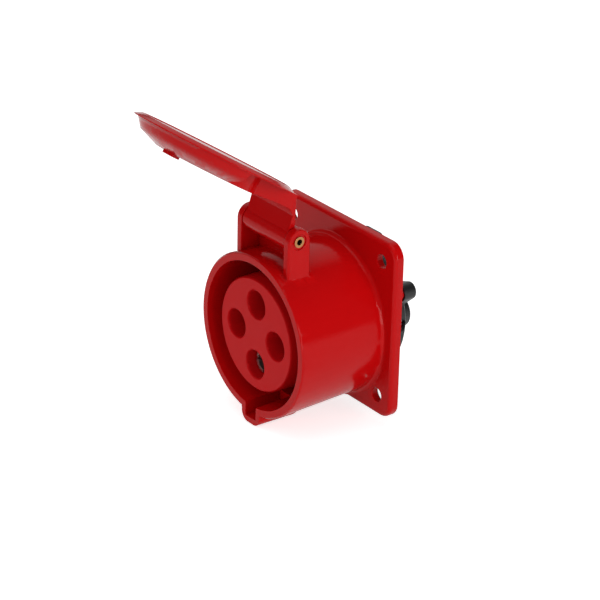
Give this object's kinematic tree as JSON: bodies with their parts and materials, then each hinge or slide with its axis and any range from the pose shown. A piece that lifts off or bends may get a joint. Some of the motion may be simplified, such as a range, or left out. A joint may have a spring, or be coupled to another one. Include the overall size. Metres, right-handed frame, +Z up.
{
  "type": "panel socket",
  "caption": "Industrial panel socket: square flange, round barrel with a keyway, recessed contact insert, and a hinged round lid shown open.",
  "frame": {"origin": "centre of the back face of the flange, where it seats on the panel", "axes": "+Z up, the mouth looks along -Y, +X to the right seen from the front"},
  "size_m": [0.07, 0.1038, 0.1289],
  "materials": {
    "red_moulding": "glossy injection-moulded polyamide",
    "red_insert": "satin injection-moulded polyamide",
    "black_moulding": "fine-grained black moulding",
    "black_rubber": "matt sheet rubber",
    "brass": "turned brass",
    "zinc_steel": "zinc-plated steel",
    "spring_steel": "bright spring steel"
  },
  "bodies": {
    "socket": {"body_screws": "zinc_steel", "clamp_screw_earth": "zinc_steel", "clamp_screw_l1": "zinc_steel", "clamp_screw_l2": "zinc_steel", "clamp_screw_l3": "zinc_steel", "contact_earth": "brass", "contact_insert": "red_insert", "contact_l1": "brass", "contact_l2": "brass", "contact_l3": "brass", "hinge_pin": "brass", "housing": "red_moulding", "panel_gasket": "black_rubber", "spring_ring_earth": "spring_steel", "spring_ring_l1": "spring_steel", "spring_ring_l2": "spring_steel", "spring_ring_l3": "spring_steel", "terminal_body": "black_moulding"},
    "lid": {"lid": "red_moulding", "lid_gasket": "black_rubber"}
  },
  "joints": [
    {"name": "lid_hinge", "type": "hinge", "parent": "socket", "child": "lid", "pos_m": [0, -0.033, 0.0375], "axis": [1, 0, 0], "range_deg": [-30, 122.6]}
  ]
}
